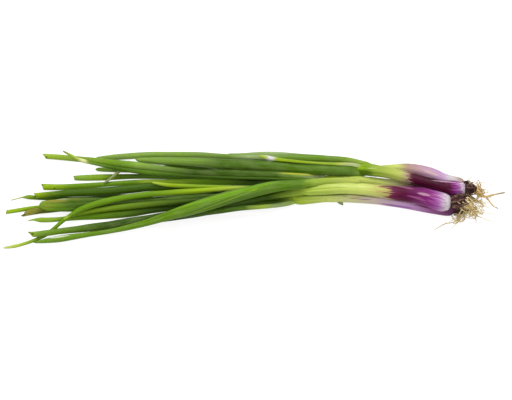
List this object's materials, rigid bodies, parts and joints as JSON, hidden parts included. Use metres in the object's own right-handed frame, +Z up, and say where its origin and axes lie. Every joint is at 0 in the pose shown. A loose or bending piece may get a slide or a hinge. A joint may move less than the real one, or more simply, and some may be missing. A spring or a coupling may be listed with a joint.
{
  "type": "spring onion bunch",
  "caption": "Bunch of purple-based spring onions lying down, with slim bulbs, tangled roots and long hollow leaves cut short at the far end.",
  "frame": {"origin": "bottom centre of the bunch, on the surface it lies on", "axes": "+Z up, +X along the bunch from the leaf ends to the roots, +Y to the back of the bunch"},
  "size_m": [0.4037, 0.0989, 0.0254],
  "materials": {
    "leaf_blue_green": "smooth leaf with a blue-grey wax bloom, fine lengthwise ribs",
    "leaf_green": "smooth fresh leaf, fine lengthwise ribs, soft sheen",
    "leaf_dark_green": "smooth dark leaf, fine lengthwise ribs, soft sheen",
    "leaf_yellow_green": "smooth thin young leaf, soft sheen",
    "leaf_withered": "dry, torn and wrinkled leaf, matt",
    "shaft_purple": "glossy layered sheath, pale green at the neck, purple streaks to a pale bulb",
    "roots_tan": "dry matt tan root strands on a dark brown knob"
  },
  "bodies": {
    "root": {"onion_5_shaft": "shaft_purple", "onion_1_shaft": "shaft_purple", "onion_4_shaft": "shaft_purple", "onion_4_leaf_1": "leaf_green", "onion_4_leaf_2": "leaf_green", "onion_3_shaft": "shaft_purple", "onion_3_leaf_1": "leaf_blue_green", "onion_3_leaf_2": "leaf_blue_green", "onion_3_leaf_3": "leaf_yellow_green", "onion_5_leaf_1": "leaf_green", "onion_5_leaf_2": "leaf_green", "onion_2_shaft": "shaft_purple", "onion_5_leaf_3": "leaf_withered", "onion_5_leaf_4": "leaf_green", "onion_5_leaf_5": "leaf_dark_green", "onion_1_leaf_1": "leaf_green", "onion_2_leaf_1": "leaf_dark_green", "onion_1_leaf_2": "leaf_withered", "onion_1_leaf_3": "leaf_blue_green", "onion_2_leaf_2": "leaf_dark_green", "onion_1_leaf_4": "leaf_dark_green", "onion_1_leaf_5": "leaf_green", "onion_2_leaf_3": "leaf_yellow_green", "onion_2_leaf_4": "leaf_yellow_green", "onion_1_leaf_6": "leaf_dark_green", "onion_2_leaf_5": "leaf_dark_green", "onion_1_leaf_7": "leaf_dark_green", "onion_2_leaf_6": "leaf_green", "onion_1_roots": "roots_tan", "onion_2_roots": "roots_tan", "onion_3_roots": "roots_tan", "onion_4_roots": "roots_tan", "onion_5_roots": "roots_tan"}
  },
  "joints": []
}
